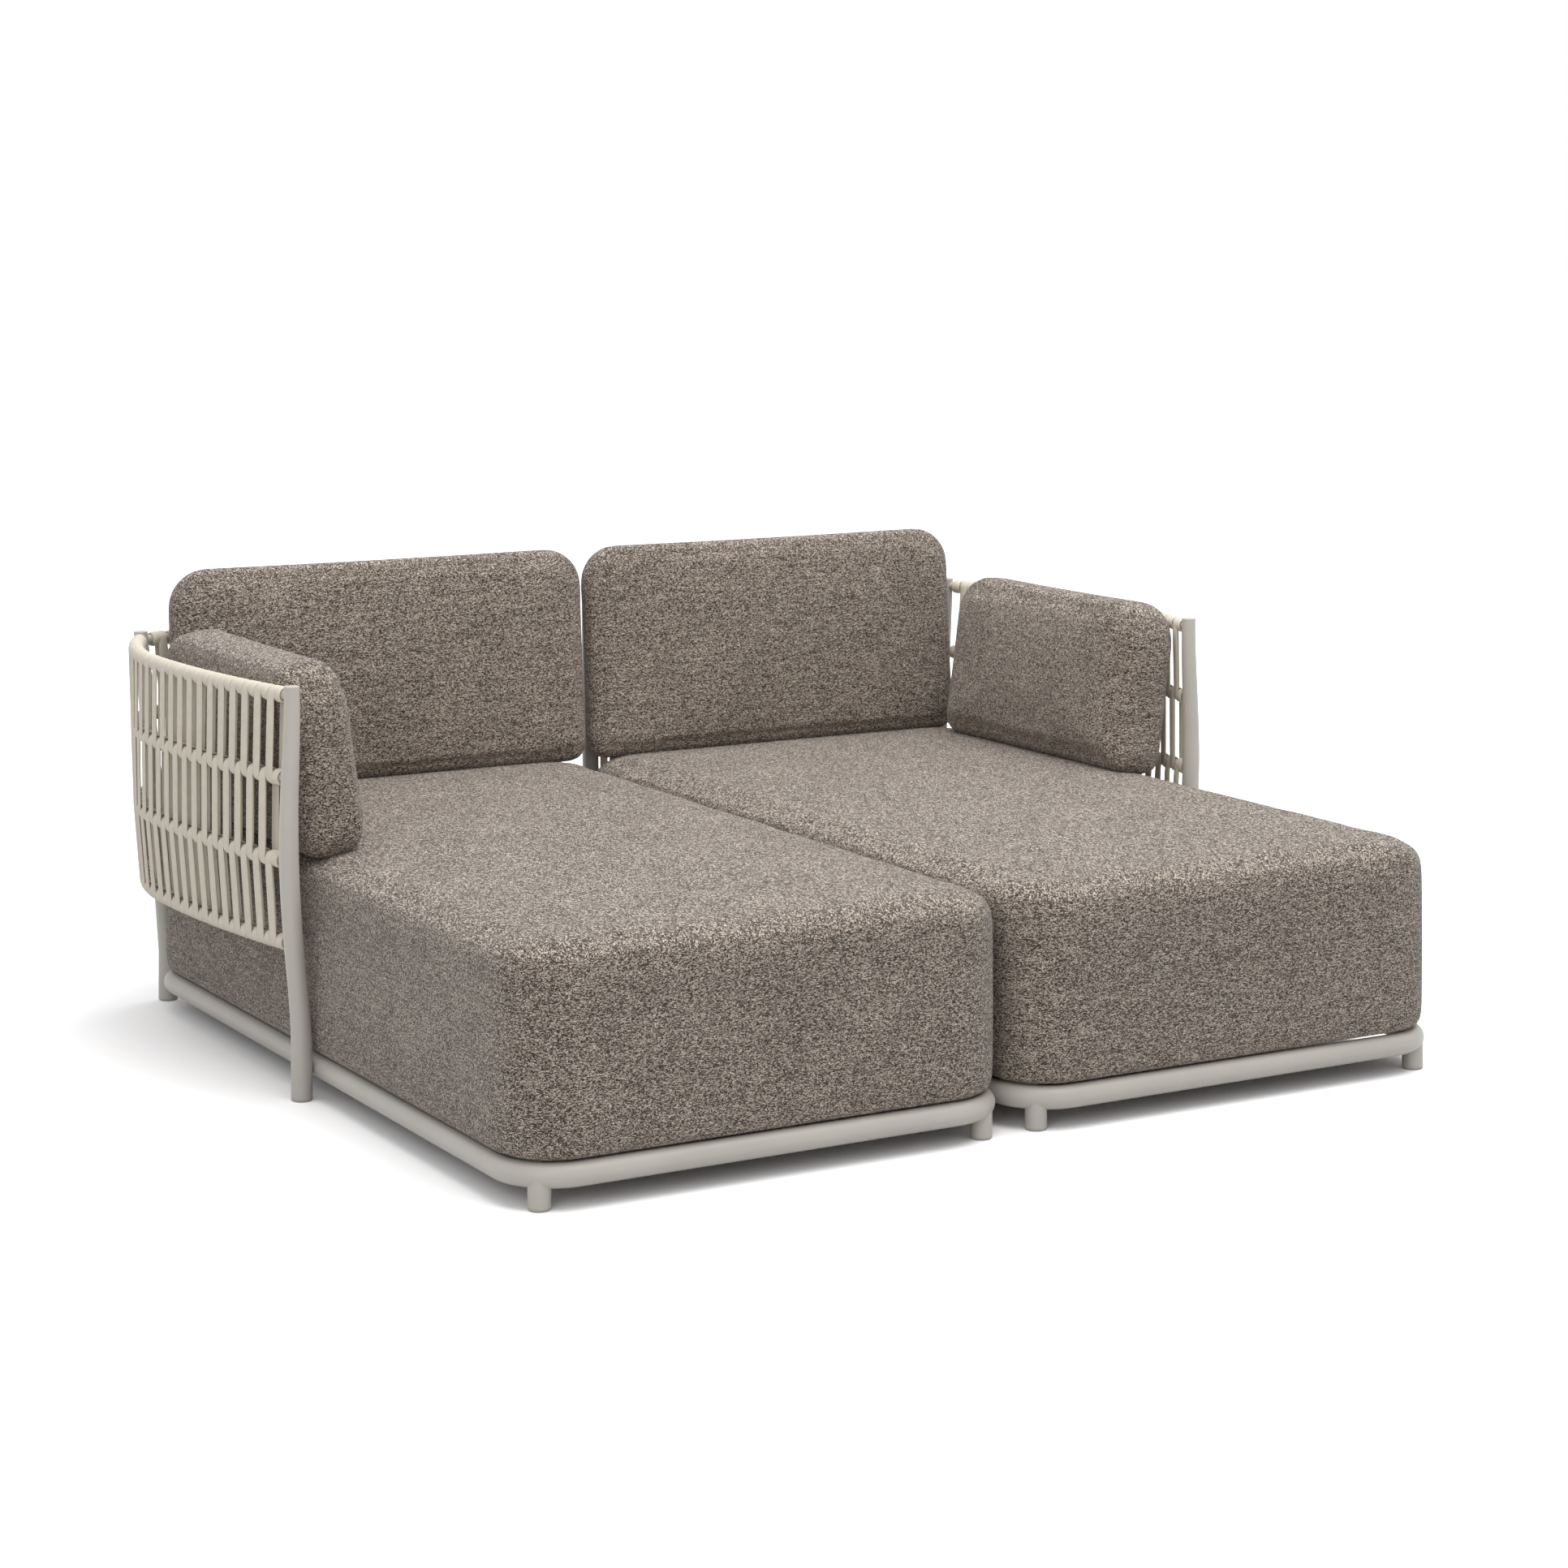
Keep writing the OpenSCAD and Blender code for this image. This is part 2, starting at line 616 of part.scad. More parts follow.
// Link plates are screwed under the left ring; their web keeps the gap, their lip carries on
// under the right ring, which pulls straight out sideways
link_lip = ring_r/2;
module link_plates() {
    color(steel) placed(-1) at_links()
        translate([-ring_x_in, 0, 0]) difference() {
            union() {
                translate([-ring_x_in - link_lip, -link_l/2, -link_t - seat_gap])
                    cube([2*(ring_x_in + link_lip), link_l, link_t]);
                translate([-module_gap/2 + soft_gap, -link_l/2, -link_t - seat_gap])
                    cube([module_gap - 2*soft_gap, link_l, link_t + ring_r + seat_gap]);
            }
            translate([ring_x_in, 0, -link_t - over])
                cylinder(h = link_t + 2*over, d = link_screw_d + 2*bolt_gap);
        }
}
module link_screws() {
    color(steel) placed(-1) at_links() {
        translate([0, 0, -link_t - seat_gap - link_screw_d/2])
            cylinder(h = link_screw_d/2, d = 2*link_screw_d);
        translate([0, 0, -link_t - seat_gap])
            cylinder(h = link_t + seat_gap + 2*ring_wall + over, d = link_screw_d);
    }
}

module seat_block(side) {
    color(fabric_taupe) placed(side)
        translate([seat_mid[0], seat_mid[1], seat_bottom])
            cushion([ring_w, ring_l]/2, [1, 1, 1, 1]*seat_corner_r, seat_edge_z - seat_bottom,
                    seat_swell, [seat_bottom_round, 0], [seat_top_round, seat_crown],
                    [seat_crown_power, seat_crown_shares]);
}
// The back cushion stands on the rear edge of the seat and leans back to the inner post's top
back_w = ring_w - back_side_gap;
back_foot_at = inner_post_pos(post_h - cap_h)[1] - post_r_at(post_h - cap_h) - back_post_gap
    - back_t/2/cos(back_lean) - (post_h - cap_h - seat_edge_z)*tan(back_lean);
back_foot_z = seat_top_at(ring_l/2, ring_l - back_foot_at - back_t/2 + back_round) + soft_gap - skin_sag
    + foot_drop(back_t, back_round, back_lean);
module back_cushion(side) {
    color(fabric_taupe) placed(side)
        translate([module_gap/2 + back_w/2, back_foot_at, back_foot_z])
            rotate([-back_lean, 0, 0])
                translate([0, back_t/2, back_h/2])
                    rotate([90, 0, 0])
                        cushion([back_w, back_h]/2,
                                [back_corner_top, back_corner_top, back_corner_low, back_corner_low],
                                back_t, 0, [back_round, back_crown_rear],
                                [back_round, back_crown_front],
                                [cushion_crown_power, cushion_crown_shares]);
}
// The side cushion stands on the outer edge of the seat and leans on the arm panel
side_foot_x = module_gap/2 + ring_w - side_inset;
side_foot_z = seat_top_at(ring_w/2, side_inset - side_t/2 + side_round) + soft_gap - skin_sag
    + foot_drop(side_t, side_round, side_lean);
module side_cushion(side) {
    color(fabric_taupe) placed(side)
        translate([side_foot_x, arm_post_at + side_front_gap + side_l/2, side_foot_z])
            rotate([0, side_lean, 0])
                translate([-side_t/2, 0, side_h/2])
                    rotate([90, 0, 90])
                        cushion([side_l, side_h]/2,
                                [side_corner_top, side_corner_top, side_corner_low, side_corner_low],
                                side_t, 0, [side_round, side_crown_in],
                                [side_round, side_crown_out],
                                [cushion_crown_power, cushion_crown_shares]);
}

base_ring(-1);  // base_ring_left
base_ring(1);  // base_ring_right
deck_bars(-1);  // deck_bars_left
deck_bars(1);  // deck_bars_right
front_legs(-1);  // front_legs_left
front_legs(1);  // front_legs_right
glides(-1);  // glides_left
glides(1);  // glides_right
arm_post(-1);  // arm_post_left
arm_post(1);  // arm_post_right
corner_post(-1);  // corner_post_left
corner_post(1);  // corner_post_right
inner_post(-1);  // inner_post_left
inner_post(1);  // inner_post_right
post_caps(-1);  // post_caps_left
post_caps(1);  // post_caps_right
post_bolts(-1);  // post_bolts_left
post_bolts(1);  // post_bolts_right
arm_rails(-1);  // arm_rails_left
arm_rails(1);  // arm_rails_right
back_rails(-1);  // back_rails_left
back_rails(1);  // back_rails_right
arm_rail_wraps(-1);  // arm_rail_wraps_left
arm_rail_wraps(1);  // arm_rail_wraps_right
back_rail_wraps(-1);  // back_rail_wraps_left
back_rail_wraps(1);  // back_rail_wraps_right
arm_strands(-1, 0);  // arm_strands_low_left
arm_strands(1, 0);  // arm_strands_low_right
arm_strands(-1, 1);  // arm_strands_middle_left
arm_strands(1, 1);  // arm_strands_middle_right
arm_strands(-1, 2);  // arm_strands_top_left
arm_strands(1, 2);  // arm_strands_top_right
back_strands(-1);  // back_strands_left
back_strands(1);  // back_strands_right
link_plates();
link_screws();
seat_block(-1);  // seat_block_left
seat_block(1);  // seat_block_right
back_cushion(-1);  // back_cushion_left
back_cushion(1);  // back_cushion_right
side_cushion(-1);  // side_cushion_left
side_cushion(1);  // side_cushion_right
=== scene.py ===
import math

import bmesh
import bpy
from mathutils import Matrix, Vector


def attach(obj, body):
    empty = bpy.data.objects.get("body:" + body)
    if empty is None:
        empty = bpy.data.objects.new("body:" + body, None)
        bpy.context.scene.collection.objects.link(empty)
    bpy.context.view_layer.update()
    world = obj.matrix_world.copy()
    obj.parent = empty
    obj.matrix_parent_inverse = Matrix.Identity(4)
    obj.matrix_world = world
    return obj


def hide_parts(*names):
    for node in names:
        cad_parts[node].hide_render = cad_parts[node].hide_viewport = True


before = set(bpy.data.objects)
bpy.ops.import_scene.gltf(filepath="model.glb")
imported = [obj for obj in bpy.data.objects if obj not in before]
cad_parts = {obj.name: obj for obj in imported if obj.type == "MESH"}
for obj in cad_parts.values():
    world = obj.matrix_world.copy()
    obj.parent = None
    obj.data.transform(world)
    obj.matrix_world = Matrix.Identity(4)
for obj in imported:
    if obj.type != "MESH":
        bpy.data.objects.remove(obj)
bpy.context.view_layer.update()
scene = bpy.context.scene

# Camera: level, at standing height in front of the left corner and facing 30 degrees right of
# +Y, with the picture shifted down so that upright posts stay upright.
camera = bpy.data.objects.new("camera", bpy.data.cameras.new("camera"))
camera.data.sensor_width = 36
camera.data.lens = 79.66
camera.data.shift_y = -0.3768
camera.location = (-3.4471, -6.06, 1.68)
camera.rotation_euler = (math.radians(90), 0, math.radians(-30))
scene.collection.objects.link(camera)
scene.camera = camera

# Materials: nodes are added through one small class, so that a shader's values can be added and
# multiplied like numbers.


class Wire:
    """One output in a material. Arithmetic on wires adds Math nodes."""

    def __init__(self, tree, socket=None):
        self.tree = tree
        self.socket = socket

    def node(self, kind, settings=(), sockets=(), output=0):
        node = self.tree.nodes.new("ShaderNode" + kind)
        for name, value in dict(settings).items():
            if name == "stops":
                ramp = node.color_ramp.elements
                while len(ramp) < len(value):
                    ramp.new(1)
                for stop, (place, colour) in zip(ramp, value):
                    stop.position = place
                    stop.color = colour
            else:
                setattr(node, name, value)
        for name, value in dict(sockets).items():
            if isinstance(value, Wire):
                self.tree.links.new(value.socket, node.inputs[name])
            else:
                node.inputs[name].default_value = value
        return Wire(self.tree, node.outputs[output]) if node.outputs else None

    def maths(self, operation, *values):
        return self.node("Math", {"operation": operation}, enumerate(values))

    def mix(self, share, first, second):
        """Blends two colours, on the Mix node's colour sockets."""
        return self.node("Mix", {"data_type": "RGBA"}, {0: share, 6: first, 7: second}, output=2)

    def __add__(self, other):
        return self.maths("ADD", self, other)

    def __mul__(self, other):
        return self.maths("MULTIPLY", self, other)

    def __sub__(self, other):
        return self.maths("SUBTRACT", self, other)

    def __rsub__(self, other):
        return self.maths("SUBTRACT", other, self)

    __radd__ = __add__
    __rmul__ = __mul__


def new_material(name):
    material = bpy.data.materials.new(name)
    material.use_nodes = True
    material.node_tree.nodes.clear()
    return material, Wire(material.node_tree)


# Floor and light: a pale studio floor that runs to a white background, one wide soft box
# overhead and a weaker one from the front left.
FLOOR_SIDE = 60
FLOOR_COLOUR = (0.62, 0.62, 0.62, 1)
FLOOR_NEAR = (1.42, 1.42, 1.42, 1)
FLOOR_FAR = (2.6, 2.6, 2.6, 1)
FLOOR_FADE = (1.6, 4.5)  # distances from the middle where it begins and ends
floor_paint, wire = new_material("floor_paint")
seen = wire.node("LightPath", output="Is Camera Ray")
glossy = wire.node("LightPath", output="Is Glossy Ray")
away = wire.node("VectorMath", {"operation": "LENGTH"},
                 {0: wire.node("TexCoord", output="Object")}, output="Value")
fade = wire.node("MapRange", {"interpolation_type": "SMOOTHSTEP"},
                 {"Value": away, "From Min": FLOOR_FADE[0], "From Max": FLOOR_FADE[1]})
floor_seen = wire.mix(fade, FLOOR_NEAR, FLOOR_FAR)
floor_shade = wire.mix(seen.maths("MAXIMUM", seen, glossy), FLOOR_COLOUR, floor_seen)
floor_surface = wire.node("BsdfDiffuse", sockets={"Color": floor_shade})
wire.node("OutputMaterial", sockets={"Surface": floor_surface})
floor_bm = bmesh.new()
bmesh.ops.create_grid(floor_bm, x_segments=1, y_segments=1, size=FLOOR_SIDE / 2)
floor_mesh = bpy.data.meshes.new("floor")
floor_bm.to_mesh(floor_mesh)
floor_bm.free()
floor = bpy.data.objects.new("floor", floor_mesh)
floor.data.materials.append(floor_paint)
scene.collection.objects.link(floor)

WORLD_LIGHT = (0.54, 0.54, 0.55, 1)
WHITE = (1, 1, 1, 1)
scene.world = bpy.data.worlds.new("studio")
scene.world.use_nodes = True
scene.world.node_tree.nodes.clear()
sky = Wire(scene.world.node_tree)
seen, glossy, through = [sky.node("LightPath", output=ray) for ray in (
    "Is Camera Ray", "Is Glossy Ray", "Is Transmission Ray")]
sky_colour = sky.mix(sky.maths("MINIMUM", seen + glossy + through, 1), WORLD_LIGHT, WHITE)
sky.node("OutputWorld", sockets={"Surface": sky.node("Background", sockets={"Color": sky_colour})})

LIGHT_AIM = Vector((0, 0, 0.3))
# name, place, size and power
SOFT_BOXES = (
    ("overhead_box", (0.4, -0.6, 4.2), 5.0, 190),
    ("front_box", (-4.4, -4.4, 2.6), 2.5, 42),
)
for name, place, size, power in SOFT_BOXES:
    lamp = bpy.data.objects.new(name, bpy.data.lights.new(name, "AREA"))
    lamp.data.energy = power
    lamp.data.size = size
    lamp.location = place
    lamp.rotation_euler = (LIGHT_AIM - Vector(place)).to_track_quat("-Z", "Y").to_euler()
    scene.collection.objects.link(lamp)

scene.view_settings.view_transform = "Standard"

# Base ring: one loop of bent round steel tube in each module, powder coated in a warm light
# grey. Its four corners are bends of one radius; it is welded shut.
MIDDLE_DEPTH = 0.93644  # from the front edge to the frame's origin
RING_X = (0.023, 0.966)
RING_Y = (0.021, 1.762)
RING_Z = 0.057
RING_TUBE_R = 0.021
RING_BEND_R = 0.1
RING_TUBE_SIDES = 40
BEND_STEPS = 18
WELD = 1e-5
UP = Vector((0, 0, 1))
SIDES = (("left", -1), ("right", 1))


def paint_coat(name, colour, grain=0.00012, roughness=0.42):
    """Powder coat: an even matt colour over a very fine orange peel."""
    material, wire = new_material(name)
    place = wire.node("TexCoord", output="Object")
    cloud = wire.node("TexNoise", sockets={"Vector": place, "Scale": 9, "Detail": 3})
    peel = wire.node("TexNoise", sockets={"Vector": place, "Scale": 900, "Detail": 2})
    stops = [(at, (*[c * share for c in colour], 1)) for at, share in ((0.3, 0.95), (0.7, 1.03))]
    tint = wire.node("ValToRGB", {"stops": stops}, {"Fac": cloud})
    bump = wire.node("Bump", sockets={"Height": peel, "Distance": grain, "Strength": 0.5})
    coat = wire.node("BsdfPrincipled", sockets={
        "Base Color": tint, "Roughness": roughness + 0.1 * (cloud - 0.5), "Normal": bump})
    wire.node("OutputMaterial", sockets={"Surface": coat})
    return material


def module_point(x, y, z):
    """A place in the right-hand module, measured from its own front edge."""
    return Vector((x, y - MIDDLE_DEPTH, z))


def fit_piece(shape, name, side, material, body, nodes, sharp=40):
    """Makes one side's piece, mirrored for the left module, and fixes it to its body."""
    mirrored = shape.copy()
    bmesh.ops.scale(mirrored, vec=(side, 1, 1), verts=mirrored.verts)
    bmesh.ops.recalc_face_normals(mirrored, faces=mirrored.faces)
    mesh = bpy.data.meshes.new(name)
    mirrored.to_mesh(mesh)
    mirrored.free()
    mesh.shade_smooth()
    mesh.set_sharp_from_angle(angle=math.radians(sharp))
    mesh.materials.append(material)
    piece = bpy.data.objects.new(name, mesh)
    scene.collection.objects.link(piece)
    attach(piece, body)
    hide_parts(*nodes)
    return piece


def run_straight(bm, edges, step):
    """Draws the open end of a tube out along a step, and gives its new end."""
    drawn = bmesh.ops.extrude_edge_only(bm, edges=edges)["geom"]
    verts = [v for v in drawn if isinstance(v, bmesh.types.BMVert)]
    bmesh.ops.translate(bm, vec=step, verts=verts)
    return [e for e in drawn if isinstance(e, bmesh.types.BMEdge)
            and all(v in drawn for v in e.verts)]


def run_bend(bm, edges, middle, angle, steps):
    """Bends the open end of a tube about an upright axis."""
    spun = bmesh.ops.spin(bm, geom=edges, cent=middle, axis=(0, 0, 1), angle=angle, steps=steps)
    return [e for e in spun["geom_last"] if isinstance(e, bmesh.types.BMEdge)]


def tube_mouth(bm, radius, sides, place, facing):
    """The first circle of a tube, at a place and facing along it."""
    turn = Vector(facing).to_track_quat("Z", "Y").to_matrix().to_4x4()
    ring = bmesh.ops.create_circle(bm, segments=sides, radius=radius,
                                   matrix=Matrix.Translation(place) @ turn)
    return list(dict.fromkeys(e for v in ring["verts"] for e in v.link_edges))


def verts_of(edges):
    """The points of some edges, each once and in their order."""
    return list(dict.fromkeys(v for e in edges for v in e.verts))


ring_paint = paint_coat("ring_paint", (0.535, 0.507, 0.457))
ring_bm = bmesh.new()
mouth = tube_mouth(ring_bm, RING_TUBE_R, RING_TUBE_SIDES,
                   module_point(RING_X[1], RING_Y[0] + RING_BEND_R, RING_Z), (0, 1, 0))
long_run = RING_Y[1] - RING_Y[0] - 2 * RING_BEND_R
cross_run = RING_X[1] - RING_X[0] - 2 * RING_BEND_R
for corner_x, corner_y, step in (
        (1, 1, (0, long_run, 0)), (0, 1, (-cross_run, 0, 0)),
        (0, 0, (0, -long_run, 0)), (1, 0, (cross_run, 0, 0))):
    mouth = run_straight(ring_bm, mouth, step)
    middle = module_point(RING_X[corner_x] + RING_BEND_R * (1 - 2 * corner_x),
                          RING_Y[corner_y] + RING_BEND_R * (1 - 2 * corner_y), RING_Z)
    mouth = run_bend(ring_bm, mouth, middle, math.radians(90), BEND_STEPS)
bmesh.ops.remove_doubles(ring_bm, verts=ring_bm.verts, dist=WELD)
for side_name, side in SIDES:
    fit_piece(ring_bm, f"ring_tube_{side_name}", side, ring_paint, f"{side_name}_module",
              [f"base_ring_{side_name}"])
ring_bm.free()

# Front legs: two short stubs of round tube, welded under the ring's front bends. Each stands
# part of the way round its bend.
LEG_R = 0.02
GLIDE_H = 0.006
LEG_ANGLE = math.radians(40)
LEG_SIDES = 48
leg_inset = RING_BEND_R * (1 - math.sin(LEG_ANGLE))
leg_depth = RING_Y[0] + RING_BEND_R * (1 - math.cos(LEG_ANGLE))
leg_places = [module_point(x, leg_depth, 0)
              for x in (RING_X[0] + leg_inset, RING_X[1] - leg_inset)]
legs_bm = bmesh.new()
for place in leg_places:
    mouth = tube_mouth(legs_bm, LEG_R, LEG_SIDES, place + UP * GLIDE_H, UP)
    run_straight(legs_bm, mouth, UP * (RING_Z - GLIDE_H))
bmesh.ops.holes_fill(legs_bm, edges=legs_bm.edges, sides=0)
for side_name, side in SIDES:
    fit_piece(legs_bm, f"leg_stubs_{side_name}", side, ring_paint, f"{side_name}_module",
              [f"front_legs_{side_name}"])
legs_bm.free()

# Posts: three tapered round tubes in each module, bolted to the ring from inside. Each has a
# straight foot and leans out above it; the arm post is bowed as well. A flat cap closes each.
FOOT_TOP = 0.1
POST_TOP = 0.765
CAP_TOP = 0.768
TAPER = ((0, 1), (0.15, 0.93), (0.57, 0.92), (0.84, 0.8), (1, 0.725))  # share of height, of radius
POST_STEPS = 40
CAP_EDGE = 0.0008
CAP_EDGE_STEPS = 3
# name, foot, lean of the top, and bow outwards
POSTS = (
    ("arm_post", (1.0071, 0.889), (0.02, 0.0), 0.015),
    ("corner_post", (0.94285, 1.78034), (0.053, 0.02), 0.0),
    ("inner_post", (0.04615, 1.78034), (0.0, 0.02), 0.0),
)


def post_share(z):
    """How far up a post's leaning part a height is, from 0 to 1."""
    return max(0, (z - FOOT_TOP) / (POST_TOP - FOOT_TOP))


def post_radius(z):
    """Radius of a post at a height, along its taper."""
    t = post_share(z)
    for (low, low_share), (high, high_share) in zip(TAPER, TAPER[1:]):
        if t <= high:
            return LEG_R * (low_share + (high_share - low_share) * (t - low) / (high - low))
    return LEG_R * TAPER[-1][1]


def post_middle(post, z):
    """The middle of a post at a height. The bow is greatest half way up."""
    _, foot, lean, bow = post
    t = post_share(z)
    return module_point(foot[0] + lean[0] * t + bow * 16 * t * t * (1 - t) ** 2,
                        foot[1] + lean[1] * t, z)


def round_edges(bm, edges, width, segments):
    """Rounds sharp edges over."""
    bmesh.ops.bevel(bm, geom=edges, offset=width, segments=segments, profile=0.5,
                    affect="EDGES", material=-1)


caps_bm = bmesh.new()
for post in POSTS:
    post_bm = bmesh.new()
    heights = [FOOT_TOP + (POST_TOP - FOOT_TOP) * i / POST_STEPS for i in range(POST_STEPS + 1)]
    mouth = tube_mouth(post_bm, LEG_R, LEG_SIDES, post_middle(post, GLIDE_H), UP)
    below = GLIDE_H
    for z in heights:
        mouth = run_straight(post_bm, mouth, post_middle(post, z) - post_middle(post, below))
        share = post_radius(z) / post_radius(below)
        bmesh.ops.scale(post_bm, vec=(share, share, 1), verts=verts_of(mouth),
                        space=Matrix.Translation(-post_middle(post, z)))
        below = z
    bmesh.ops.holes_fill(post_bm, edges=post_bm.edges, sides=0)
    for side_name, side in SIDES:
        fit_piece(post_bm, f"{post[0]}_tube_{side_name}", side, ring_paint,
                  f"{side_name}_module", [f"{post[0]}_{side_name}"])
    post_bm.free()
    mouth = tube_mouth(caps_bm, post_radius(POST_TOP), LEG_SIDES, post_middle(post, POST_TOP), UP)
    rim = run_straight(caps_bm, mouth, UP * (CAP_TOP - POST_TOP))
    bmesh.ops.holes_fill(caps_bm, edges=caps_bm.edges, sides=0)
    round_edges(caps_bm, rim, CAP_EDGE, CAP_EDGE_STEPS)
for side_name, side in SIDES:
    fit_piece(caps_bm, f"caps_{side_name}", side, ring_paint, f"{side_name}_module",
              [f"post_caps_{side_name}"])
caps_bm.free()

# Glides: moulded plastic discs in the frame's colour under each leg and post, rounded below.
GLIDE_EDGE = 0.0048
GLIDE_EDGE_STEPS = 6
glide_plastic = paint_coat("glide_plastic", (0.5, 0.475, 0.43), grain=0.0002, roughness=0.55)
glides_bm = bmesh.new()
for place in leg_places + [post_middle(post, 0) for post in POSTS]:
    sole = tube_mouth(glides_bm, LEG_R, LEG_SIDES, place, UP)
    run_straight(glides_bm, sole, UP * GLIDE_H)
bmesh.ops.holes_fill(glides_bm, edges=glides_bm.edges, sides=0)
rims = [e for e in glides_bm.edges if e.verts[0].co.z + e.verts[1].co.z < GLIDE_H]
round_edges(glides_bm, rims, GLIDE_EDGE, GLIDE_EDGE_STEPS)
for side_name, side in SIDES:
    fit_piece(glides_bm, f"glide_discs_{side_name}", side, glide_plastic,
              f"{side_name}_module", [f"glides_{side_name}"])
glides_bm.free()

# Rails: four bent round tubes in each panel, welded to the posts. An arm rail is two arcs that
# meet where the panel is widest; a back rail is one arc.
RAIL_R = 0.01
RAIL_SIDES = 24
RAIL_ZS = (0.291, 0.444, 0.597, 0.75)
RAIL_STEPS = 40
RAIL_SINK = 0.004  # how far a rail's end reaches into its post
ARM_WIDE_AT = 1.429
ARM_SWELL = (0.054, 0.064)
BACK_SWELL = 0.06


def arm_arcs(i):
    """Where rail i of an arm is widest, and the radius and length of its two arcs."""
    front, rear = post_middle(POSTS[0], RAIL_ZS[i]), post_middle(POSTS[1], RAIL_ZS[i])
    swell = ARM_SWELL[0] + (ARM_SWELL[1] - ARM_SWELL[0]) * i / (len(RAIL_ZS) - 1)
    wide_x = round(front.x + swell, 4)
    join_y = ARM_WIDE_AT - MIDDLE_DEPTH
    runs = (join_y - front.y, rear.y - join_y)
    rises = (swell, wide_x - rear.x)
    radii = [round((run * run + rise * rise) / (2 * rise), 4) for run, rise in zip(runs, rises)]
    lengths = [r * math.asin(run / r) for r, run in zip(radii, runs)]
    return Vector((wide_x, join_y, RAIL_ZS[i])), radii, lengths


def arm_length(i):
    return sum(arm_arcs(i)[2])


def arm_spot(i, s):
    """The middle of arm rail i at a length from the arm post, and its outward direction."""
    join, radii, lengths = arm_arcs(i)
    radius = radii[0] if s < lengths[0] else radii[1]
    turn = (s - lengths[0]) / radius
    out = Vector((math.cos(turn), math.sin(turn), 0))
    return join + radius * (out - Vector((1, 0, 0))), out


def back_arc(i):
    """Middle, radius and half turn of back rail i."""
    outer, inner = post_middle(POSTS[1], RAIL_ZS[i]), post_middle(POSTS[2], RAIL_ZS[i])
    half = (outer.x - inner.x) / 2
    radius = round((half * half + BACK_SWELL ** 2) / (2 * BACK_SWELL), 4)
    middle = Vector(((outer.x + inner.x) / 2, outer.y + BACK_SWELL - radius, RAIL_ZS[i]))
    return middle, radius, math.asin(half / radius)


def back_length(i):
    _, radius, half_turn = back_arc(i)
    return 2 * radius * half_turn


def back_spot(i, s):
    """The middle of back rail i at a length from the corner post, and its outward direction."""
    middle, radius, half_turn = back_arc(i)
    turn = math.radians(90) - half_turn + s / radius
    out = Vector((math.cos(turn), math.sin(turn), 0))
    return middle + radius * out, out


def rail_tube(bm, spot, i, start, end, steps):
    """A bent tube along a rail, drawn through even stations."""
    place, out = spot(i, start)
    mouth = tube_mouth(bm, RAIL_R, RAIL_SIDES, place, (-out.y, out.x, 0))
    for k in range(1, steps + 1):
        s = start + (end - start) * k / steps
        new_place, new_out = spot(i, s)
        mouth = run_straight(bm, mouth, new_place - place)
        turn = math.atan2(new_out.y, new_out.x) - math.atan2(out.y, out.x)
        bmesh.ops.rotate(bm, cent=new_place, matrix=Matrix.Rotation(turn, 3, "Z"),
                         verts=verts_of(mouth))
        place, out = new_place, new_out


for panel, spot, length in (("arm", arm_spot, arm_length), ("back", back_spot, back_length)):
    rails_bm = bmesh.new()
    for i, z in enumerate(RAIL_ZS):
        sink = post_radius(z) - RAIL_SINK
        rail_tube(rails_bm, spot, i, sink, length(i) - sink, RAIL_STEPS)
    bmesh.ops.holes_fill(rails_bm, edges=rails_bm.edges, sides=0)
    for side_name, side in SIDES:
        fit_piece(rails_bm, f"{panel}_rail_tubes_{side_name}", side, ring_paint,
                  f"{side_name}_module", [f"{panel}_rails_{side_name}"])
    rails_bm.free()

# Rope: flat woven cord, 22.5 mm wide, in three rows of tight loops, each round two neighbouring
# rails. A loop's strand inside stands a little nearer the row's start than the one outside; plain
# turns fill the outermost rails and each rail's ends up to a short bare collar.
ROPE_W = 0.0225
ROPE_T = 0.0058
ROPE_PITCH = 0.044
ROPE_FIRST = 0.05  # from a post's middle to the first loop
ROPE_SLIP = 0.006  # from a loop's strand outside to its strand inside
TURN_W = 0.0205  # the rope pulls narrower where it turns
END_TURN = 0.0315
LAY_R = RAIL_R + 0.0027  # from a rail's middle to the rope's
TURN_STEP = math.radians(22.5)
STRAND_STEPS = 5
RIB_RATE, RIB_SLANT = 2600, 60  # along the rope and across it
FLUFF_TONE, RIB_TONE, ROPE_TONE = 0.35, 0.08, 0.15
ROPE_STOPS = ((0.3, (0.66, 0.595, 0.485, 1)), (0.72, (0.83, 0.765, 0.645, 1)))
# Across the rope: shares of its width and of its thickness
ROPE_SECTION = ((-0.5, 0), (-0.43, 0.3), (-0.2, 0.48), (0.2, 0.48), (0.43, 0.3),
                (0.5, 0), (0.43, -0.3), (0.2, -0.48), (-0.2, -0.48), (-0.43, -0.3))


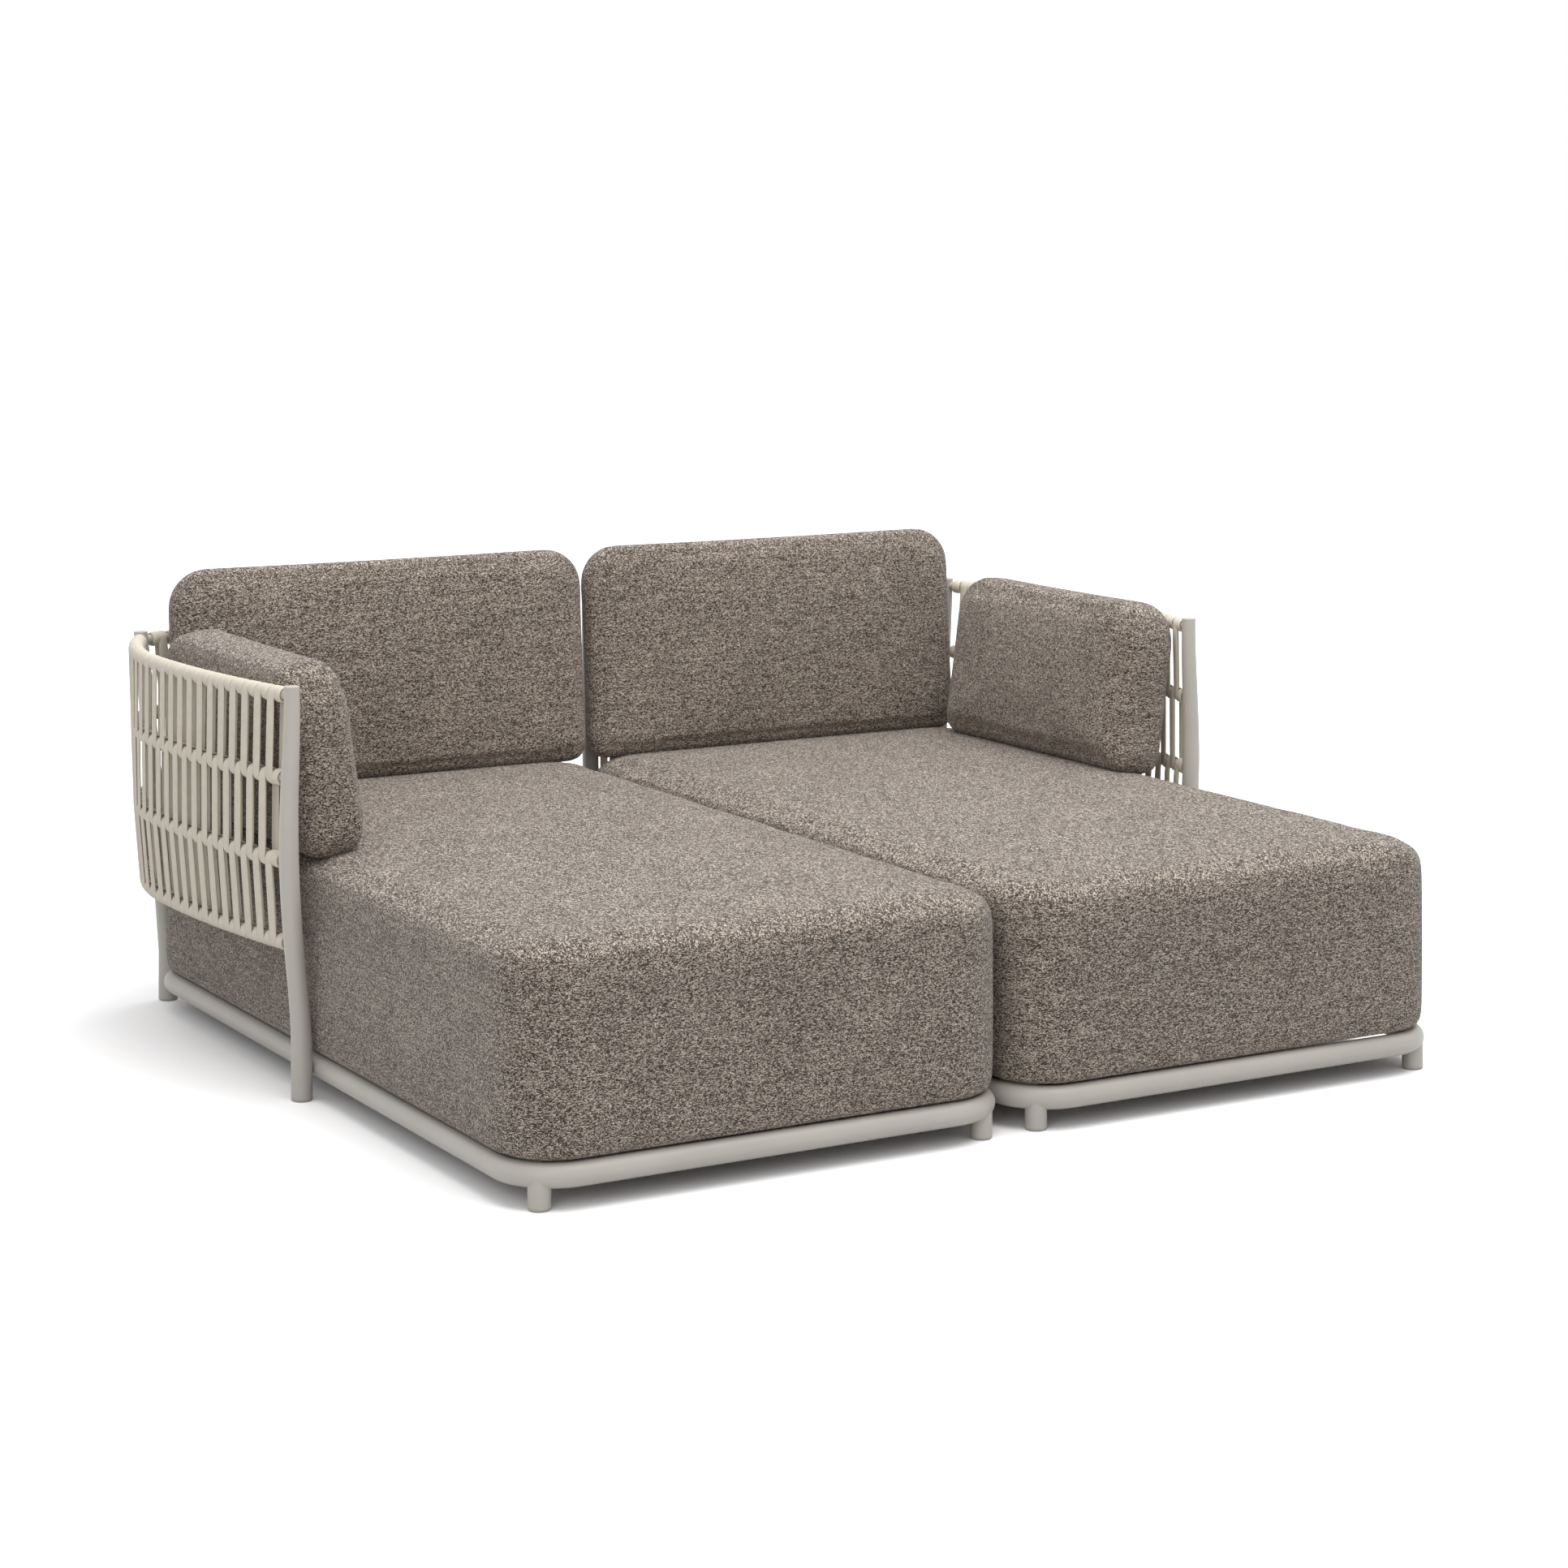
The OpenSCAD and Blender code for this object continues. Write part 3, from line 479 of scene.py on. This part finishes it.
def band(bm, stations):
    """A closed loop of flat rope through stations: place, outward normal and width. It is a grid
    rolled shut both ways."""
    around, count = len(ROPE_SECTION), len(stations)
    layer = bm.loops.layers.uv.verify()
    grid = bmesh.ops.create_grid(bm, x_segments=count, y_segments=around, size=1)["verts"]
    lengths = [0.0]
    for k in range(count):
        lengths.append(lengths[-1] + (stations[(k + 1) % count][0] - stations[k][0]).length)
    faces = {f for v in grid for f in v.link_faces}
    cell = {v: (round((v.co.x + 1) / 2 * count), round((v.co.y + 1) / 2 * around)) for v in grid}
    for f in faces:
        for loop in f.loops:
            k, j = cell[loop.vert]
            loop[layer].uv = (lengths[k], j / around)
    for v, (k, j) in cell.items():
        place, normal, width = stations[k % count]
        before, after = stations[(k - 1) % count][0], stations[(k + 1) % count][0]
        along = (after - before).normalized()
        across = along.cross(normal).normalized()
        up = across.cross(along).normalized()
        b, n = ROPE_SECTION[j % around]
        v.co = place + across * (b * width) + up * (n * ROPE_T)
    bmesh.ops.remove_doubles(bm, verts=grid, dist=2e-5)


def lay(spot, i, s, angle):
    """A place on the rope's path round rail i, its normal at that angle, and its width there."""
    middle, out = spot(i, s)
    normal = out * math.cos(angle) + UP * math.sin(angle)
    return middle + normal * LAY_R, normal, TURN_W


def turn(spot, i, start, end, begin, finish):
    """Stations round rail i from one angle to another and from one place to another."""
    steps = round(abs(end - start) / TURN_STEP)
    return [lay(spot, i, begin + (finish - begin) * k / steps, start + (end - start) * k / steps)
            for k in range(steps + 1)]


def strand(start, end):
    """Stations straight from one to the other, at the rope's full width."""
    shares = [j / STRAND_STEPS for j in range(1, STRAND_STEPS)]
    return [(start[0].lerp(end[0], t), start[1].lerp(end[1], t), ROPE_W) for t in shares]


def wind_row(bm, spot, length, row):
    """One row of loops round rails row and row + 1; plain turns lie between them on the
    outermost rails, where the next row's loops are missing."""
    low, high = row, row + 1
    reach = length(row) - 2 * ROPE_FIRST
    count = round(reach / ROPE_PITCH)
    late = row % 2
    half = math.radians(180)
    for k in range(count + 1 - late):
        share = (ROPE_FIRST + reach * (k + late / 2) / count) / length(row)
        bottom, top = share * length(low), share * length(high)
        over = turn(spot, high, 0, half, top, top - ROPE_SLIP)
        under = turn(spot, low, half, 2 * half, bottom - ROPE_SLIP, bottom)
        band(bm, over + strand(over[-1], under[0]) + under + strand(under[-1], over[0]))
        if not late and k < count:
            edge = low if row == 0 else high
            between = (share + reach / (2 * count) / length(row)) * length(edge)
            band(bm, turn(spot, edge, 0, 2 * half, between, between)[:-1])


def wind_ends(bm, spot, length):
    """A plain turn at both ends of every rail."""
    for i in range(len(RAIL_ZS)):
        for s in (END_TURN, length(i) - END_TURN):
            band(bm, turn(spot, i, 0, math.radians(360), s, s)[:-1])


def rope_fabric():
    """Woven cord: fine slanting ribs across the rope, meeting at its middle."""
    material, wire = new_material("rope_weave")
    spot = wire.node("UVMap", {"uv_map": "lay"})
    along, across = [wire.node("SeparateXYZ", sockets={"Vector": spot}, output=axis)
                     for axis in "XY"]
    slant = wire.maths("ABSOLUTE", wire.maths("PINGPONG", across, 0.25) - 0.125)
    ribs = wire.maths("SINE", along * RIB_RATE + slant * RIB_SLANT)
    place = wire.node("TexCoord", output="Object")
    cloud = wire.node("TexNoise", sockets={"Vector": place, "Scale": 60, "Detail": 4})
    fluff = wire.node("TexNoise", sockets={"Vector": place, "Scale": 1400, "Detail": 2})
    tone = cloud * FLUFF_TONE + fluff * FLUFF_TONE + ribs * RIB_TONE + ROPE_TONE
    tint = wire.node("ValToRGB", {"stops": ROPE_STOPS}, {"Fac": tone})
    bump = wire.node("Bump", sockets={"Height": ribs * 0.5 + fluff, "Distance": 0.0004,
                                      "Strength": 0.6})
    cloth = wire.node("BsdfPrincipled", sockets={
        "Base Color": tint, "Roughness": 0.78 + 0.1 * (cloud - 0.5), "Normal": bump,
        "Sheen Weight": 0.15})
    wire.node("OutputMaterial", sockets={"Surface": cloth})
    return material


rope_weave = rope_fabric()
for panel, spot, length, nodes in (
        ("arm", arm_spot, arm_length,
         ("arm_rail_wraps", "arm_strands_low", "arm_strands_middle", "arm_strands_top")),
        ("back", back_spot, back_length, ("back_rail_wraps", "back_strands"))):
    rope_bm = bmesh.new()
    rope_bm.loops.layers.uv.new("lay")
    for row in range(len(RAIL_ZS) - 1):
        wind_row(rope_bm, spot, length, row)
    wind_ends(rope_bm, spot, length)
    for side_name, side in SIDES:
        fit_piece(rope_bm, f"{panel}_rope_{side_name}", side, rope_weave, f"{side_name}_module",
                  [f"{node}_{side_name}" for node in nodes], sharp=60)
    rope_bm.free()

# Hidden metal: grey cross bars that carry the seat block, zinc bolts and the link plates that
# hold the two rings side by side. The CAD solids stay and get their finish.
bar_paint = paint_coat("bar_paint", (0.3, 0.285, 0.26), roughness=0.5)
zinc = paint_coat("zinc", (0.42, 0.42, 0.41), grain=0.00005, roughness=0.35)


def refinish(node, material):
    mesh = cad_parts[node].data
    mesh.materials.clear()
    mesh.materials.append(material)


for side_name, _ in SIDES:
    refinish(f"deck_bars_{side_name}", bar_paint)
    refinish(f"post_bolts_{side_name}", zinc)
refinish("link_plates", zinc)
refinish("link_screws", zinc)

# Seat blocks and cushions: foam in a loose cover of boucle, a rough weave of dark brown and pale
# beige yarns. Each type is sewn once, filled by a cloth simulation, and mirrored for the left.
UPRIGHT_CELLS = (370, 370, 820)  # flecks in a metre, along X, Y and Z
FLAT_CELLS = (520, 260, 520)
UPRIGHT_SEED, FLAT_SEED = 3.1, 7.7
PICK_TONE, WISP_TONE, DARKER = 0.42, 1.1, 0.26
CLOUD_TONE, SLUB_TONE = 0.06, 0.16
WISP_HEIGHT, HOLLOW_DEPTH = 0.7, 0.6
YARN_STOPS = ((0.3, (0.019, 0.013, 0.009, 1)), (0.43, (0.076, 0.055, 0.043, 1)),
              (0.56, (0.221, 0.179, 0.145, 1)), (0.7, (0.745, 0.653, 0.553, 1)))


def boucle():
    """Short flecks of two yarns: long and level on upright faces, finer and rounder on top."""
    material, wire = new_material("boucle")
    place = wire.node("TexCoord", output="Object")
    facing = wire.maths("ABSOLUTE", wire.node(
        "SeparateXYZ", sockets={"Vector": wire.node("NewGeometry", output="Normal")}, output="Z"))
    level = wire.node("MapRange", {"interpolation_type": "SMOOTHSTEP"},
                      {"Value": facing, "From Min": 0.35, "From Max": 0.85})

    wander = wire.node("TexNoise", sockets={"Vector": place, "Scale": 160, "Detail": 1}, output=1)
    place = wire.node("VectorMath", {"operation": "MULTIPLY_ADD"},
                      {0: wander, 1: (0.004, 0.004, 0.002), 2: place})

    def loops(cells, seed):
        """The yarn's colour share and its height, in cells of that size."""
        spot = wire.node("Mapping", sockets={"Vector": place, "Scale": cells,
                                             "Location": (seed, seed, seed)})
        cell = wire.node("TexVoronoi", sockets={"Vector": spot, "Scale": 1}, output="Color")
        pick = wire.node("SeparateColor", sockets={"Color": cell})
        hollow = wire.node("TexVoronoi", sockets={"Vector": spot, "Scale": 1})
        wisp = wire.node("TexNoise", sockets={"Vector": spot, "Scale": 1.5, "Detail": 2})
        return (pick * PICK_TONE + wisp * WISP_TONE - DARKER,
                wisp * WISP_HEIGHT - hollow * HOLLOW_DEPTH)

    upright, upright_height = loops(UPRIGHT_CELLS, UPRIGHT_SEED)
    flat, flat_height = loops(FLAT_CELLS, FLAT_SEED)
    yarn = upright * (1 - level) + flat * level
    height = upright_height * (1 - level) + flat_height * level
    cloud = wire.node("TexNoise", sockets={"Vector": place, "Scale": 7, "Detail": 3})
    slub = wire.node("TexNoise", sockets={"Scale": 1, "Detail": 1, "Vector": wire.node(
        "Mapping", sockets={"Vector": place, "Scale": (14, 14, 300)})})
    tone = yarn + CLOUD_TONE * (cloud - 0.5) + SLUB_TONE * (slub - 0.5) * (1 - level)
    tint = wire.node("ValToRGB", {"stops": YARN_STOPS}, {"Fac": tone})
    bump = wire.node("Bump", sockets={"Height": height, "Distance": 0.0014, "Strength": 0.9})
    cloth = wire.node("BsdfPrincipled", sockets={
        "Base Color": tint, "Roughness": 0.9, "Normal": bump, "Sheen Weight": 0.2,
        "Sheen Roughness": 0.5, "Specular IOR Level": 0.2})
    wire.node("OutputMaterial", sockets={"Surface": cloth})
    return material


boucle_cloth = boucle()
TUCK = 0.003  # how tight the cover is cut
FOOT_FACING = -0.8  # upward share of a normal that still counts as the cushion's foot
FOOT_FADE = 0.5
CLOTH_FRAMES = 20
RUB_ROUNDS = 3


def rub_round(cover):
    """Takes the sharpness out of the cover's folds."""
    bm = bmesh.new()
    bm.from_mesh(cover.data)
    for _ in range(RUB_ROUNDS):
        bmesh.ops.smooth_vert(bm, verts=bm.verts, factor=0.5, use_axis_x=True, use_axis_y=True,
                              use_axis_z=True)
    bm.to_mesh(cover.data)
    bm.free()


def above_foot(normal):
    """0 on the foot, which lies on what carries the cushion, and 1 on its sides and top."""
    return min(1, max(0, (normal.z - FOOT_FACING) / FOOT_FADE))


def apply_modifiers(cover):
    """Keeps what the modifiers make as the object's own mesh."""
    made = bpy.data.meshes.new_from_object(
        cover.evaluated_get(bpy.context.evaluated_depsgraph_get()))
    cover.modifiers.clear()
    cover.data = made


def cover_of(node, voxel):
    """The cover's cut: the foam's outline, evenly meshed and a little tight."""
    bm = bmesh.new()
    bm.from_mesh(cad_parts[node].data)
    bmesh.ops.remove_doubles(bm, verts=bm.verts, dist=WELD)
    mesh = bpy.data.meshes.new(node)
    bm.to_mesh(mesh)
    bm.free()
    cover = bpy.data.objects.new(node, mesh)
    scene.collection.objects.link(cover)
    remesh = cover.modifiers.new("even", "REMESH")
    remesh.mode = "VOXEL"
    remesh.voxel_size = voxel
    apply_modifiers(cover)
    rub_round(cover)
    for v, normal in [(v, v.normal.copy()) for v in cover.data.vertices]:
        v.co -= normal * TUCK * above_foot(normal)
    return cover


def fill_cover(cover, pressure, slack, room):
    """Blows the cover up as cloth. Firm foam holds each point to its room outwards and to a
    little slack along the cover."""
    start = [v.co.copy() for v in cover.data.vertices]
    normals = [v.normal.copy() for v in cover.data.vertices]
    cloth = cover.modifiers.new("cover", "CLOTH")
    cloth.settings.use_pressure = True
    cloth.settings.uniform_pressure_force = pressure
    cloth.settings.effector_weights.gravity = 0
    cloth.settings.quality = 4
    cloth.collision_settings.use_collision = False
    for step in range(1, CLOTH_FRAMES + 1):
        scene.frame_set(step)
    apply_modifiers(cover)
    scene.frame_set(1)
    for v, place, normal in zip(cover.data.vertices, start, normals):
        move = v.co - place
        out = move.dot(normal)
        slide = move - normal * out
        slide *= min(1, slack / max(slide.length, slack))
        v.co = place + above_foot(normal) * (slide + normal * max(0, min(out, room(normal))))
    rub_round(cover)


def seam_at(cover, normal, depth, gap, pinch):
    """Two lines of stitching, where a band's cover joins the face's, that deep under the face."""
    bm = bmesh.new()
    bm.from_mesh(cover.data)
    face = max(v.co.dot(normal) for v in bm.verts)
    for line in (depth, depth + gap):
        cut = bmesh.ops.bisect_plane(bm, geom=bm.verts[:] + bm.edges[:] + bm.faces[:], dist=5e-4,
                                     plane_co=normal * (face - line), plane_no=normal)
        bm.normal_update()
        sewn = {v for v in cut["geom_cut"] if isinstance(v, bmesh.types.BMVert)}
        for v, out in [(v, v.normal.copy()) for v in sewn]:
            v.co -= out * pinch * above_foot(out)
    bm.to_mesh(cover.data)
    bm.free()


def soft_pair(cover, name, body, node):
    """The right-hand cushion and its mirror image, subdivided once."""
    for side_name, side in SIDES:
        bm = bmesh.new()
        bm.from_mesh(cover.data)
        piece = fit_piece(bm, f"{name}_{side_name}", side, boucle_cloth, f"{body}_{side_name}",
                          [f"{node}_{side_name}"], sharp=180)
        bm.free()
        smooth = piece.modifiers.new("smooth", "SUBSURF")
        smooth.levels = smooth.render_levels = 1
    bpy.data.objects.remove(cover)


SEAT_VOXEL = 0.014
SEAT_PRESSURE = 3
SEAT_SLACK = 0.003
SEAT_SWELL = 0.006
seat_cover = cover_of("seat_block_right", SEAT_VOXEL)
fill_cover(seat_cover, SEAT_PRESSURE, SEAT_SLACK,
           lambda normal: TUCK + SEAT_SWELL * max(0, normal.z))
soft_pair(seat_cover, "seat_foam", "seat", "seat_block")

# Loose cushions: the back and side cushions swell on the faces that nothing presses on. The side
# cushion leans outwards, and a seam runs round its band a little behind its inner face.
CUSHION_VOXEL = 0.006
CUSHION_PRESSURE = 4
CUSHION_SLACK = 0.004
CUSHION_SWELL = 0.009
back_cover = cover_of("back_cushion_right", CUSHION_VOXEL)
fill_cover(back_cover, CUSHION_PRESSURE, CUSHION_SLACK,
           lambda normal: TUCK + CUSHION_SWELL * max(0, -0.5 * normal.y, normal.z, normal.x))
soft_pair(back_cover, "back_pillow", "back", "back_cushion")

SIDE_LEAN = math.radians(8.2)
SEAM_DEPTH = 0.048
SEAM_GAP = 0.007
SEAM_PINCH = 0.0016
inward = Vector((-math.cos(SIDE_LEAN), 0, math.sin(SIDE_LEAN)))
side_cover = cover_of("side_cushion_right", CUSHION_VOXEL)
fill_cover(side_cover, CUSHION_PRESSURE, CUSHION_SLACK, lambda normal: TUCK + CUSHION_SWELL * max(
    0, normal.dot(inward), normal.z, -0.6 * normal.y))
seam_at(side_cover, inward, SEAM_DEPTH, SEAM_GAP, SEAM_PINCH)
soft_pair(side_cover, "side_pillow", "side", "side_cushion")
